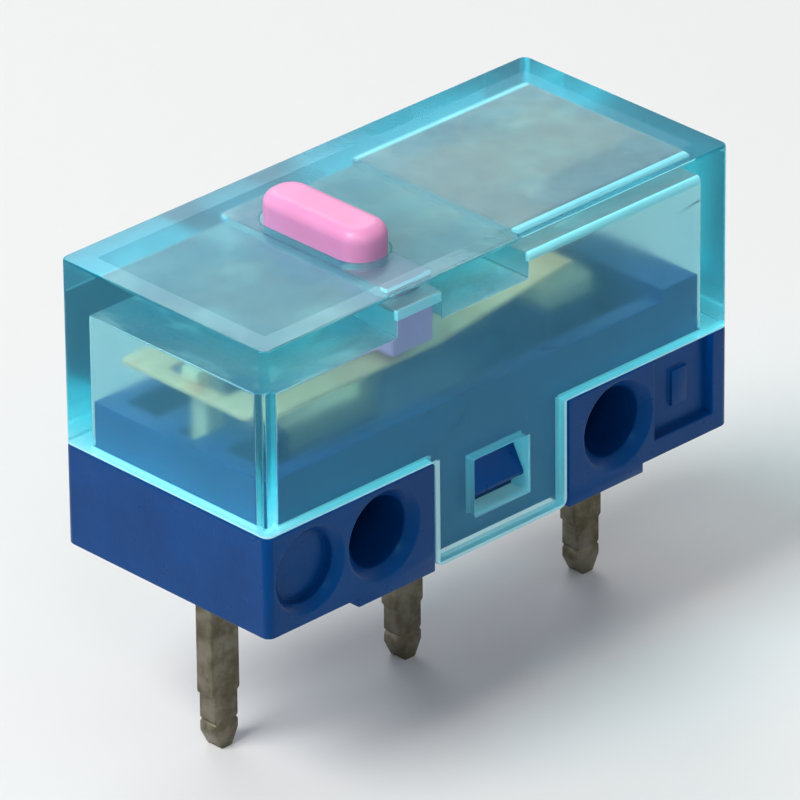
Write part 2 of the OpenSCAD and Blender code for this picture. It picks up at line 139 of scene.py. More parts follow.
class Solid:
    """A closed mesh shaped with modelling operators. Its object stays at the origin, unturned."""

    def __init__(self) -> None:
        """Takes over the object just added, and puts its place, turn and size into its mesh.

        The corners are rounded off, so that faces meant to be level with others are level.
        """
        bpy.ops.object.transform_apply(location=True, rotation=True, scale=True)
        self.obj = bpy.context.object
        for vertex in self.obj.data.vertices:
            vertex.co = [round(value, DECIMALS) for value in vertex.co]

    @classmethod
    def block(cls, x: Span, y: Span, z: Span) -> "Solid":
        """Adds a block.

        Args:
            x: Its span along X.
            y: Its span along Y.
            z: Its span along Z.

        Returns:
            The block.
        """
        low, high = (Vector(corner) for corner in zip(x, y, z))
        bpy.ops.mesh.primitive_cube_add(size=1, location=(low + high) / 2, scale=high - low)
        return cls()

    @classmethod
    def rod(
        cls, centre: Point, radius: float, length: float, axis: Axis = Axis.Z, sides: int = 64
    ) -> "Solid":
        """Adds a round bar.

        Args:
            centre: The middle of the bar.
            radius: Its radius.
            length: Its length.
            axis: Its direction, Y or Z.
            sides: Facets round it.

        Returns:
            The bar.
        """
        turn = (-math.pi / 2 if axis is Axis.Y else 0.0, 0.0, 0.0)
        bpy.ops.mesh.primitive_cylinder_add(
            vertices=sides, radius=radius, depth=length, location=centre, rotation=turn
        )
        return cls()

    def activate(self) -> None:
        """Makes this the only selected object."""
        bpy.ops.object.select_all(action="DESELECT")
        self.obj.select_set(True)
        bpy.context.view_layer.objects.active = self.obj

    @contextmanager
    def editing(self, element: Element, test: Test | None = None) -> Iterator[bmesh.types.BMesh]:
        """Opens the mesh for editing, with the parts selected that an operator will work on.

        Args:
            element: What is selected.
            test: Says whether a part is selected. Without it, all are.

        Yields:
            The mesh being edited.
        """
        self.activate()
        bpy.ops.object.mode_set(mode="EDIT")
        bpy.ops.mesh.select_mode(type=element.value)
        bpy.ops.mesh.select_all(action="DESELECT" if test else "SELECT")
        mesh = bmesh.from_edit_mesh(self.obj.data)
        if test:
            kinds = {Element.CORNER: mesh.verts, Element.EDGE: mesh.edges, Element.FACE: mesh.faces}
            chosen = [part for part in kinds[element] if test(part)]
            if not chosen:
                raise ValueError(f"nothing of {self.obj.name} was chosen")
            for part in chosen:
                part.select_set(True)
            bmesh.update_edit_mesh(self.obj.data)
        yield mesh
        bpy.ops.object.mode_set(mode="OBJECT")

    def edit(
        self, element: Element, test: Test | None, operator: Callable, **settings: object
    ) -> "Solid":
        """Runs one modelling operator on chosen parts of the mesh.

        Args:
            element: What is chosen.
            test: Says whether a part is chosen. Without it, all are.
            operator: The operator.
            settings: Its settings.

        Returns:
            This solid.
        """
        with self.editing(element, test):
            operator(**settings)
        return self

    def bevel_edges(self, test: Test, width: float, segments: int) -> "Solid":
        """Rounds the edges that pass a test, with the radius and facets given."""
        size = {"offset": width, "segments": segments, "offset_type": "OFFSET"}
        return self.edit(Element.EDGE, test, bpy.ops.mesh.bevel, affect="EDGES", **size)

    def bevel_upright(self, radius: float, segments: int = 5) -> "Solid":
        """Rounds the upright corners, with the radius and facets given."""
        return self.bevel_edges(along(Axis.Z), radius, segments)

    def extrude_face(self, axis: Axis, place: float, move: Point, scale: Point = (1, 1, 1)) -> "Solid":
        """Pulls the end face out and resizes it about its own middle.

        Args:
            axis: Direction that the face's plane faces.
            place: Where the plane is along that direction.
            move: How far the face moves.
            scale: How much the moved face grows or shrinks.

        Returns:
            This solid.
        """
        with self.editing(Element.FACE, lying_in(axis, place)) as mesh:
            corners = [v.co for v in mesh.verts if v.select]
            middle = Vector((0, 0, 0))
            for corner in corners:
                middle += corner / len(corners)
            bpy.ops.mesh.extrude_region_move(TRANSFORM_OT_translate={"value": Vector(move)})
            bpy.ops.transform.resize(value=scale, center_override=middle + Vector(move))
        return self

    def slice_at(self, axis: Axis, *places: float) -> "Solid":
        """Cuts new edges round the solid, across one direction.

        Args:
            axis: The direction.
            places: Where the cuts are along it.

        Returns:
            This solid.
        """
        normal = Vector((0, 0, 0))
        normal[axis.value] = 1
        knife = {"operator": bpy.ops.mesh.bisect, "plane_no": normal, "threshold": WELD}
        for place in places:
            self.edit(Element.FACE, None, plane_co=normal * place, **knife)
        return self

    def shift(self, test: Test, move: Point) -> "Solid":
        """Moves the corners that pass a test."""
        return self.edit(Element.CORNER, test, bpy.ops.transform.translate, value=move)

    def cut(self, *tools: "Solid") -> "Solid":
        """Takes the tools' shapes away, and uses the tools up."""
        return self._combine(Combining.CUT, tools)

    def join(self, *others: "Solid") -> "Solid":
        """Grows together with other solids, and uses them up."""
        return self._combine(Combining.JOIN, others)

    def _combine(self, way: Combining, others: tuple["Solid", ...]) -> "Solid":
        """Combines this solid with others.

        Args:
            way: How.
            others: The other solids, which are then gone.

        Returns:
            This solid.
        """
        for other in others:
            self._modify("BOOLEAN", operation=way.value, solver="EXACT", object=other.obj)
            bpy.data.objects.remove(other.obj, do_unlink=True)
        return self._tidy()

    def _modify(self, kind: str, **settings: object) -> None:
        """Applies a modifier.

        Args:
            kind: Its type.
            settings: Its settings.
        """
        modifier = self.obj.modifiers.new(kind, kind)
        for key, value in settings.items():
            setattr(modifier, key, value)
        self.activate()
        bpy.ops.object.modifier_apply(modifier=modifier.name)

    def _tidy(self) -> "Solid":
        """Welds doubled corners and points the faces outwards."""
        self.edit(Element.CORNER, None, bpy.ops.mesh.remove_doubles, threshold=WELD)
        return self.edit(Element.CORNER, None, bpy.ops.mesh.normals_make_consistent, inside=False)

    def _twin(self) -> bpy.types.Object:
        """Copies the object and its mesh, and leaves the copy selected.

        Returns:
            The copy.
        """
        self.activate()
        bpy.ops.object.duplicate()
        return bpy.context.object

    def copy(self, move: Point) -> "Solid":
        """A copy that stands as far off as the move says."""
        self._twin().location = move
        return Solid()

    def mirrored(self, axis: Axis) -> "Solid":
        """A copy that is mirrored in the middle of the case, with the axis turned round."""
        self._twin().scale[axis.value] = -1
        return Solid()._tidy()

    def pair(self) -> list["Solid"]:
        """This solid with its like on the other long side, which comes first."""
        return [self.mirrored(Axis.Y), self]

    def soften(self, width: float, segments: int, angle: float) -> "Solid":
        """Breaks every sharp edge with a small rounding and evens out the shading.

        Args:
            width: Width of the rounding.
            segments: Facets across it.
            angle: Edges that turn by less than this many degrees stay.

        Returns:
            This solid.
        """
        limit = {"limit_method": "ANGLE", "angle_limit": math.radians(angle)}
        self._modify("BEVEL", width=width, segments=segments, use_clamp_overlap=False, **limit)
        return self.smooth()

    def smooth(self, angle: float = 40.0) -> "Solid":
        """Shades smoothly across gentle edges and keeps flat faces flat.

        Args:
            angle: Edges that turn by more than this many degrees stay sharp.

        Returns:
            This solid.
        """
        self.activate()
        bpy.ops.object.shade_smooth_by_angle(angle=math.radians(angle))
        self._modify("WEIGHTED_NORMAL", keep_sharp=True, weight=100)
        return self

    def finish(self, name: str, finish: "Finish", body: Body, slot: Slot, node: str) -> None:
        """Names and dresses the piece, and fixes it to its body.

        Args:
            name: The piece's name.
            finish: Its finish.
            body: The body it rides on.
            slot: The record's material slot; not used.
            node: The CAD node that it stands for.
        """
        self.obj.name = self.obj.data.name = name
        self.obj.data.materials.clear()
        self.obj.data.materials.append(finish.material())
        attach(self.obj, body.value)
        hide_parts(node)
        LOG.info("%s: %d faces on %s", name, len(self.obj.data.polygons), body.value)


# --- Finishes ---


@dataclass(frozen=True)
class Clouds:
    """A cloudy pattern: the size of its clouds, and the number and strength of their finer layers.

    Where a finish asks for it, its values in the source span are brought to the target span.
    """

    size: float
    detail: float
    rough: float
    source: Span = MOST
    target: Span = FULL


class Nodes:
    """A node tree being put together."""

    def __init__(self, tree: bpy.types.NodeTree) -> None:
        """Starts on the tree given."""
        self.tree = tree

    def add(
        self, kind: str, inputs: dict[int | str, Value] | None = None, **settings: str
    ) -> bpy.types.Node:
        """Adds a node.

        Args:
            kind: The node's type.
            inputs: What goes into its inputs, by name or number.
            settings: Its settings, by attribute name.

        Returns:
            The node.
        """
        node = self.tree.nodes.new(kind)
        for key, value in settings.items():
            setattr(node, key, value)
        for key, value in (inputs or {}).items():
            self.feed(node.inputs[key], value)
        return node

    def feed(self, target: Socket, value: Value) -> None:
        """Joins an output to an input, or gives the input a plain value of its own.

        Args:
            target: The input.
            value: The output, number, colour or vector.
        """
        if isinstance(value, Socket):
            self.tree.links.new(value, target)
        else:
            target.default_value = (*value, 1.0) if target.type == "RGBA" else value

    def maths(self, operation: str, *values: Value) -> Socket:
        """The result of a sum, such as ADD or LESS_THAN, on the values given."""
        return self.add("ShaderNodeMath", dict(enumerate(values)), operation=operation).outputs[0]

    def plus(self, first: Value, second: Value) -> Socket:
        """The sum of two values."""
        return self.maths("ADD", first, second)

    def below(self, value: Value, limit: float) -> Socket:
        """1 where a value is below its limit."""
        return self.maths("LESS_THAN", value, limit)

    def near(self, value: Value, place: float, reach: float) -> Socket:
        """1 where a value is no further from a place than the reach given."""
        return self.maths("COMPARE", value, place, reach)

    def both(self, *masks: Value) -> Socket:
        """The product of masks or shares: 1 where all of them are."""
        return reduce(lambda first, second: self.maths("MULTIPLY", first, second), masks)

    def either(self, *masks: Value) -> Socket:
        """The largest of masks or shares: 1 where any of them is."""
        return reduce(lambda first, second: self.maths("MAXIMUM", first, second), masks)

    def mix(self, share: Socket, first: Socket, second: Socket) -> Socket:
        """Mixes two shaders, with a share of the second from 0 to 1."""
        return self.add("ShaderNodeMixShader", {0: share, 1: first, 2: second}).outputs[0]


class Recipe(Nodes):
    """A material being put together round one Principled shader."""

    def __init__(self, name: str) -> None:
        """Starts the material.

        Args:
            name: Its name.
        """
        self.material = bpy.data.materials.new(name)
        self.material.use_nodes = True
        super().__init__(self.material.node_tree)
        self.shader = self.tree.nodes["Principled BSDF"]
        self.output = self.tree.nodes["Material Output"]
        self.place = self.add("ShaderNodeTexCoord").outputs["Object"]

    def set(self, **values: Value) -> None:
        """Feeds the Principled shader, with _ for a space in an input's name."""
        for key, value in values.items():
            self.feed(self.shader.inputs[key.replace("_", " ")], value)

    def split(self, vector: Socket) -> bpy.types.NodeOutputs:
        """The three numbers of a vector."""
        return self.add("ShaderNodeSeparateXYZ", {0: vector}).outputs

    def mapped(self, **changes: Point) -> Socket:
        """The place on the piece, with the Location or Scale given."""
        return self.add("ShaderNodeMapping", {"Vector": self.place, **changes}).outputs["Vector"]

    def noise(self, clouds: Clouds, place: Socket | None = None) -> Socket:
        """A cloudy pattern as it is, with values from 0 to 1.

        Args:
            clouds: The pattern.
            place: Where it is read, if not at the plain place on the piece.

        Returns:
            Its values.
        """
        inputs = {"Scale": 1 / clouds.size, "Detail": clouds.detail, "Roughness": clouds.rough}
        inputs["Vector"] = self.place if place is None else place
        return self.add("ShaderNodeTexNoise", inputs).outputs["Fac"]

    def spread(self, clouds: Clouds) -> Socket:
        """A cloudy pattern, brought to its target span."""
        return self.span(self.noise(clouds), clouds.source, clouds.target)

    def span(self, value: Value, source: Span, target: Span) -> Socket:
        """Brings a value smoothly from one span to another, held at its ends."""
        inputs = dict(enumerate((value, *source, *target)))
        return self.add("ShaderNodeMapRange", inputs, interpolation_type="SMOOTHSTEP").outputs[0]

    def blend(self, share: Value, first: Value, second: Value) -> Socket:
        """Blends two colours, with a share of the second from 0 to 1."""
        inputs = {0: share, 6: first, 7: second}  # a colour's inputs share their names with others
        return self.add("ShaderNodeMix", inputs, data_type="RGBA").outputs[2]

    def bump(self, height: Socket, depth: float, **before: Socket) -> Socket:
        """Raises the surface by a pattern, on top of a Normal that may come first."""
        inputs = {"Strength": 1.0, "Distance": depth, "Height": height, **before}
        return self.add("ShaderNodeBump", inputs).outputs["Normal"]


def srgb(*steps: int) -> Colour:
    """Turns a paint colour, given as red, green and blue from 0 to 255, into light."""
    shares = [step / 255 for step in steps]
    return tuple(s / 12.92 if s < 0.04045 else ((s + 0.055) / 1.055) ** 2.4 for s in shares)


class Finish:
    """A finish that a piece can wear."""

    name: str

    def build(self, recipe: Recipe) -> None:
        """Puts the finish together, on the recipe given."""
        raise NotImplementedError

    def material(self) -> bpy.types.Material:
        """The finish as a material, made the first time it is asked for.

        Returns:
            The material.
        """
        made = bpy.data.materials.get(self.name)
        if made is None:
            recipe = Recipe(self.name)
            self.build(recipe)
            made = recipe.material
        return made


@dataclass(frozen=True)
class MouldedPlastic(Finish):
    """Opaque satin plastic from an etched mould, with faint flow clouds and fine grain."""

    name: str
    colour: Colour
    cloud: Colour
    roughness: Span
    grain_depth: float = 0.0035 * MM
    mirror: float = 0.5
    mirror_tint: Colour = (1.0, 1.0, 1.0)
    subsurface: float = 0.0
    glow: Colour = (1.0, 0.5, 0.5)
    glow_depth: float = 0.3 * MM
    flow: Clouds = Clouds(1.6 * MM, 4, 0.55)
    smears: Clouds = Clouds(0.5 * MM, 3, 0.6)
    grain: Clouds = Clouds(0.05 * MM, 2, 0.6)

    def build(self, recipe: Recipe) -> None:
        """Puts the finish together.

        Args:
            recipe: The material being put together.
        """
        smears = recipe.noise(self.smears)
        mottle = recipe.bump(smears, 2 * self.grain_depth)
        recipe.set(
            Base_Color=recipe.blend(recipe.spread(self.flow), self.colour, self.cloud),
            Roughness=recipe.span(smears, MOST, self.roughness),
            Normal=recipe.bump(recipe.noise(self.grain), self.grain_depth, Normal=mottle),
            Subsurface_Weight=self.subsurface,
            Subsurface_Radius=self.glow,
            Subsurface_Scale=self.glow_depth,
            Specular_IOR_Level=self.mirror,
            Specular_Tint=self.mirror_tint,
            IOR=1.5,
        )


@dataclass(frozen=True)
class ClearPlastic(Finish):
    """Milky see-through plastic: polished outside, etched under the roof, with a highlight painted on
    its cut edges.
    """

    name: str
    inner: Span
    roof_faces: Point
    ledge: float
    edge_lines: Span
    tab_half: float
    window: Point
    tint: Colour = srgb(234, 249, 251)
    depth_tint: Colour = (0.0, 0.89, 0.93)
    depth_density: float = 420.0
    shade: Colour = (0.90, 0.95, 0.96)
    mirror: float = 0.3
    mirror_tint: Colour = (0.12, 0.68, 1.0)
    milk: Colour = srgb(14, 156, 194)
    etched_milk: Colour = srgb(36, 80, 101)
    warm_milk: Colour = srgb(146, 117, 112)
    pale_milk: Colour = srgb(190, 174, 170)
    # Painted highlight: the pale colour of the cut edges and how much of them is milky.
    painted_edge_highlight: Colour = srgb(188, 236, 246)
    milkiness: Span = (0.09, 0.8)
    uneven: Span = (0.88, 1.06)
    painted_edge_highlight_share: float = 0.75
    line: float = 0.03 * MM
    border: float = 0.1 * MM
    # How much of the painted highlight the window's borders get.
    window_highlight_share: float = 0.55
    witness: Point = (4.1 * MM, 1.0 * MM, 5.9 * MM)
    witness_radius: float = 1.05 * MM
    witness_warmth: float = 0.3
    warm_run: Span = (-5 * MM, 3 * MM)
    warm_rise: Span = (0.0, 0.5)
    worn: Span = (0.35, 0.75)
    polish: Span = (0.04, 0.09)
    inner_polish: float = 0.17
    etched: float = 0.35
    ripple_depth: float = 0.001 * MM
    haze: Clouds = Clouds(1.1 * MM, 3, 0.55)
    ripple: Clouds = Clouds(0.45 * MM, 2, 0.5)
    warmth: Clouds = Clouds(2.2 * MM, 2, 0.5, (0.4, 0.68), (0.0, 0.6))
    speckle: Clouds = Clouds(0.09 * MM, 2, 0.6, MOST, (-0.16, 0.16))
    patches: Clouds = Clouds(1.3 * MM, 3, 0.5, (0.5, 0.74), (0.0, 0.45))
    ior: float = 1.56

    def build(self, recipe: Recipe) -> None:
        """Puts the finish together.

        Args:
            recipe: The material being put together.
        """
        spread = recipe.add("ShaderNodeVectorMath", {0: recipe.place}, operation="ABSOLUTE")
        along_x, along_y, height = recipe.split(spread.outputs[0])
        (long, wide), line, half = self.inner, self.line, self.ledge / 2
        inside = recipe.both(recipe.below(along_x, long + line), recipe.below(along_y, wide + line))
        between_ends = recipe.below(along_x, long - line)
        roof = recipe.either(*(recipe.near(height, level, line) for level in self.roof_faces))
        under_roof = recipe.both(between_ends, recipe.below(along_y, wide - line), roof)
        fillet = recipe.both(
            recipe.near(along_y, wide - half, half + line),
            recipe.near(height, self.roof_faces[1] - half, half + line),
            between_ends,
        )
        # Painted highlight on the seam, the tab's and window's borders and the fillet under the thin
        # roof.
        cut_edge = recipe.either(self._cut_edges(recipe, along_x, height), fillet)
        haze = recipe.noise(self.haze)
        self._dress_glass(recipe, inside, under_roof, haze)
        glass = self._add_milk(recipe, under_roof, cut_edge, haze)
        self._let_lamps_through(recipe, glass)
        absorption = {"Color": self.depth_tint, "Density": self.depth_density}
        depth = recipe.add("ShaderNodeVolumeAbsorption", absorption)
        recipe.feed(recipe.output.inputs["Volume"], depth.outputs["Volume"])

    def _cut_edges(self, recipe: Recipe, along_x: Socket, height: Socket) -> Socket:
        """Finds the seam, the tab's borders and the window's, where a highlight is painted.

        Args:
            recipe: The material being put together.
            along_x: Distance from the middle of the case along it.
            height: Height.

        Returns:
            1 on those edges, less round the window, 0 elsewhere.
        """
        seam, foot = self.edge_lines
        half, sill, top = self.window
        near, line = recipe.near, self.line
        beside_tab = recipe.maths("GREATER_THAN", along_x, self.tab_half - line)
        seam_line = recipe.both(beside_tab, near(height, seam, 2 * line))
        tab = recipe.both(near(along_x, self.tab_half, self.border), recipe.below(height, seam + line))
        rails = recipe.either(near(height, sill, line), near(height, top, line))
        rails = recipe.both(rails, recipe.below(along_x, half + line))
        posts = recipe.both(near(along_x, half, line), near(height, (sill + top) / 2, (top - sill) / 2))
        window = recipe.both(recipe.either(rails, posts), self.window_highlight_share)
        return recipe.either(seam_line, near(height, foot, self.border), tab, window)

    def _dress_glass(self, recipe: Recipe, inside: Socket, under_roof: Socket, haze: Socket) -> None:
        """Sets the clear part: polished outside, less so inside and etched under the roof.

        Args:
            recipe: The material being put together.
            inside: 1 on the inner faces.
            under_roof: 1 on the roof's inner faces.
            haze: A cloudy pattern.
        """
        polish = recipe.span(haze, self.worn, self.polish)
        for mask, rougher in ((inside, self.inner_polish), (under_roof, self.etched)):
            polish = recipe.plus(polish, recipe.both(mask, rougher))
        recipe.set(
            Base_Color=self.tint,
            Roughness=polish,
            Normal=recipe.bump(recipe.noise(self.ripple), self.ripple_depth),
            IOR=self.ior,
            Transmission_Weight=1.0,
            Specular_IOR_Level=self.mirror,
            Specular_Tint=self.mirror_tint,
        )

    def _add_milk(self, recipe: Recipe, under_roof: Socket, cut_edge: Socket, haze: Socket) -> Socket:
        """Mixes in the milky part, which scatters the light that falls on it, and the pale colour
        painted on the cut edges as a highlight.

        Args:
            recipe: The material being put together.
            under_roof: 1 on the roof's inner faces.
            cut_edge: 1 on the cut edges, where a highlight is painted.
            haze: A cloudy pattern.

        Returns:
            The mixed shader.
        """
        share = recipe.span(under_roof, FULL, self.milkiness)
        share = recipe.both(share, recipe.span(haze, MOST, self.uneven))
        # Painted highlight: the cut edges are mostly the pale milky part.
        share = recipe.either(share, recipe.both(cut_edge, self.painted_edge_highlight_share))
        run = recipe.span(recipe.split(recipe.place)[0], self.warm_run, self.warm_rise)
        ends = {0: recipe.place, 1: self.witness}
        reach = recipe.add("ShaderNodeVectorMath", ends, operation="DISTANCE").outputs["Value"]
        ring = recipe.both(recipe.near(reach, self.witness_radius, self.line), self.witness_warmth)
        warm = recipe.plus(recipe.plus(recipe.spread(self.warmth), run), ring)
        warm = recipe.plus(warm, recipe.spread(self.speckle))
        etched = recipe.blend(warm, self.etched_milk, self.warm_milk)
        etched = recipe.blend(recipe.spread(self.patches), etched, self.pale_milk)
        colour = recipe.blend(under_roof, self.milk, etched)
        # Painted highlight: the cut edges take a pale cyan colour.
        colour = recipe.blend(cut_edge, colour, self.painted_edge_highlight)
        milk = recipe.add("ShaderNodeBsdfDiffuse", {"Color": colour})
        return recipe.mix(share, recipe.shader.outputs["BSDF"], milk.outputs["BSDF"])

    def _let_lamps_through(self, recipe: Recipe, glass: Socket) -> None:
        """Lets light from the lamps reach the pieces inside, tinted once at each face.

        Args:
            recipe: The material being put together.
            glass: The shader that everything but a lamp's light meets.
        """
        lamp_light = recipe.add("ShaderNodeLightPath").outputs["Is Shadow Ray"]
        clear = recipe.add("ShaderNodeBsdfTransparent", {"Color": self.shade})
        surface = recipe.mix(lamp_light, glass, clear.outputs["BSDF"])
        recipe.feed(recipe.output.inputs["Surface"], surface)


@dataclass(frozen=True)
class StampedMetal(Finish):
    """Sheet metal with drawn streaks along one direction, dull patches and fine scratches, and, where
    asked, painted light above a height: a paler, less metallic colour.
    """

    name: str
    colour: Colour
    dull: Colour
    roughness: Span
    stretch: Point
    metallic: float
    lit_inner_colour: Colour | None = None
    lit_inner_metallic: float = 0.3
    painted_light_rise: Span = (1.0 * MM, 1.2 * MM)
    streak_roughness: float = 0.18
    depth: float = 0.002 * MM
    streaks: Clouds = Clouds(0.06 * MM, 3, 0.6)
    patches: Clouds = Clouds(0.45 * MM, 4, 0.6, (0.35, 0.7))

    def build(self, recipe: Recipe) -> None:
        """Puts the finish together.

        Args:
            recipe: The material being put together.
        """
        streaks = recipe.noise(self.streaks, recipe.mapped(Scale=self.stretch))
        patches = recipe.noise(self.patches)
        dulled = recipe.span(patches, self.patches.source, self.patches.target)
        colour, metallic = recipe.blend(dulled, self.colour, self.dull), self.metallic
        # Painted light: above the base the metal turns pale cream and less metallic, so the parts inside
        # the cover look lit.
        if self.lit_inner_colour is not None:
            lit_share = recipe.span(recipe.split(recipe.place)[2], self.painted_light_rise, FULL)
            colour = recipe.blend(lit_share, colour, self.lit_inner_colour)
            metallic = recipe.span(lit_share, FULL, (metallic, self.lit_inner_metallic))
        worn = recipe.span(patches, MOST, self.roughness)
        dents = recipe.bump(patches, 3 * self.depth)
        recipe.set(
            Base_Color=colour,
            Metallic=metallic,
            Roughness=recipe.plus(recipe.both(streaks, self.streak_roughness), worn),
            Normal=recipe.bump(streaks, self.depth, Normal=dents),
        )


@dataclass(frozen=True)
class TurnedSilver(Finish):
    """Contact silver with rings from turning and a light tarnish."""

    name: str
    colour: Colour
    tarnish: Colour
    centre: Point
    roughness: Span = (0.28, 0.43)
    ring_width: float = 0.25 * MM
    ring_depth: float = 0.001 * MM
    patches: Clouds = Clouds(0.25 * MM, 3, 0.6, (0.4, 0.75))

    def build(self, recipe: Recipe) -> None:
        """Puts the finish together.

        Args:
            recipe: The material being put together.
        """
        place = recipe.mapped(Location=[-value for value in self.centre])
        inputs = {"Scale": 1 / self.ring_width, "Distortion": 1.0, "Vector": place}
        rings = recipe.add("ShaderNodeTexWave", inputs, wave_type="RINGS", rings_direction="Z")
        patches = recipe.noise(self.patches)
        share = recipe.span(patches, self.patches.source, self.patches.target)
        recipe.set(
            Base_Color=recipe.blend(share, self.colour, self.tarnish),
            Metallic=1.0,
            Roughness=recipe.span(patches, MOST, self.roughness),
            Normal=recipe.bump(rings.outputs["Fac"], self.ring_depth),
        )


# --- Pieces ---


@dataclass(frozen=True)
class Case:
    """Sizes and places on the case that several pieces share."""

    half_length: float
    half_width: float
    roof_top: float
    seam: float = 2.4 * MM
    wall: float = 0.55 * MM
    fit_gap: float = 0.04 * MM
    corner: float = 0.18 * MM
    tab_width: float = 3.65 * MM
    window_width: float = 1.5 * MM
    window_top: float = 2.05 * MM
    pin_pitch: float = 5.08 * MM
    pin_width: float = 0.76 * MM
    sheet: float = 0.45 * MM
    jog_height: float = 0.9 * MM
    jog_reach: float = 1.8 * MM
    plate_start: float = 2.9 * MM
    plate_length: float = 1.2 * MM
    nose_width: float = 2.0 * MM
    open_plate_top: float = 3.92 * MM
    plunger_x: float = -1.98 * MM
    contact_x: float = 3.5 * MM
    shank_radius: float = 0.23 * MM
    shank_sides: int = 32

    @classmethod
    def from_frame(cls) -> "Case":
        """Reads the case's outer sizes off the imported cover."""
        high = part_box("cover")[1]
        return cls(high.x, high.y, high.z)

    @property
    def outline(self) -> tuple[Span, Span]:
        """The case's spans along X and Y."""
        return about(0, self.half_length), about(0, self.half_width)

    @property
    def cavity_length(self) -> float:
        """Half the length of the space inside the cover."""
        return self.half_length - self.wall

    @property
    def cavity_width(self) -> float:
        """Half the width of the space inside the cover."""
        return self.half_width - self.wall

    @property
    def side(self) -> float:
        """The face of the long side that is modelled, where the other is mirrored."""
        return -self.half_width

    @property
    def tab_room(self) -> float:
        """Half the width of the recess that a tab stands in."""
        return self.tab_width / 2 + self.fit_gap

    @property
    def plate_end(self) -> float:
        """Where the lower contact's plate ends."""
        return self.plate_start + self.plate_length


@dataclass
class Cover:
    """The see-through cover: four walls, a stepped roof and a latch tab on each long side."""

    case: Case
    roof_face: float = 5.35 * MM
    thin_roof_face: float = 5.9 * MM
    guide_face: float = 5.95 * MM
    pocket_start: float = 1.0 * MM
    slot_width: float = 1.22 * MM
    slot_length: float = 3.12 * MM
    slot_corner: float = 0.56 * MM
    tab_lift: float = 0.05 * MM
    tab_corner: float = 0.2 * MM
    window_sill: float = 0.8 * MM
    seat_gap: float = 0.012 * MM
    edge: float = 0.045 * MM
    ledge: float = 0.15 * MM

    def build(self) -> None:
        """Makes the cover."""
        shell = self._walls().cut(self._inner_space(), self._plunger_slot())
        shell.join(*self._tab().pair()).soften(self.edge, 3, 35)
        shell.finish("cover_shell", self._finish(), Body.CASE, Slot.COVER, "cover")

    @property
    def seat(self) -> float:
        """Height of the walls' lower edge, a hair above the base."""
        return self.case.seam + self.seat_gap

    def _finish(self) -> ClearPlastic:
        """The see-through plastic, told where the cover's inner faces and edges are.

        Returns:
            The finish.
        """
        case = self.case
        return ClearPlastic(
            "clear_cyan",
            inner=(case.cavity_length, case.cavity_width),
            roof_faces=(self.roof_face, self.thin_roof_face, self.guide_face),
            ledge=self.ledge,
            edge_lines=(self.seat, self.tab_lift),
            tab_half=case.tab_width / 2,
            window=(case.window_width / 2, self.window_sill, case.window_top),
        )

    def _walls(self) -> Solid:
        """The outside of the cover, with rounded upright corners."""
        walls = Solid.block(*self.case.outline, (self.seat, self.case.roof_top))
        return walls.bevel_upright(self.case.corner)

    def _inner_space(self) -> Solid:
        """The room inside: high over the contacts, with a guide for the plunger's foot.

        Returns:
            The room, as a tool.
        """
        case, low = self.case, self.roof_face - CUT
        long, wide = case.cavity_length, about(0, case.cavity_width)
        room = Solid.block(about(0, long), wide, (case.seam - CUT, self.roof_face))
        pocket = Solid.block((self.pocket_start, long), wide, (low, self.thin_roof_face))
        ledges = meeting(lying_in(Axis.Z, self.thin_roof_face), along(Axis.X))
        pocket.bevel_edges(ledges, self.ledge, 4)
        guide = Solid.block(about(case.plunger_x, self.slot_width / 2), wide, (low, self.guide_face))
        return room.join(pocket, guide)

    def _plunger_slot(self) -> Solid:
        """The slot in the roof that the plunger's head stands in.

        Returns:
            The slot, as a tool.
        """
        x, y = about(self.case.plunger_x, self.slot_width / 2), about(0, self.slot_length / 2)
        slot = Solid.block(x, y, (self.guide_face - CUT / 2, self.case.roof_top + CUT))
        return slot.bevel_upright(self.slot_corner, 8)

    def _tab(self) -> Solid:
        """The latch tab of the -Y side, with its window.

        Returns:
            The tab.
        """
        case, side = self.case, self.case.side
        depth, height = (side, side + case.wall), (self.tab_lift, self.seat + case.wall)
        tab = Solid.block(about(0, case.tab_width / 2), depth, height)
        tab.bevel_edges(meeting(lying_in(Axis.Z, self.tab_lift), along(Axis.Y)), self.tab_corner, 5)
        x, y = about(0, case.window_width / 2), (side - CUT, side + case.wall + CUT)
        return tab.cut(Solid.block(x, y, (self.window_sill, case.window_top)))


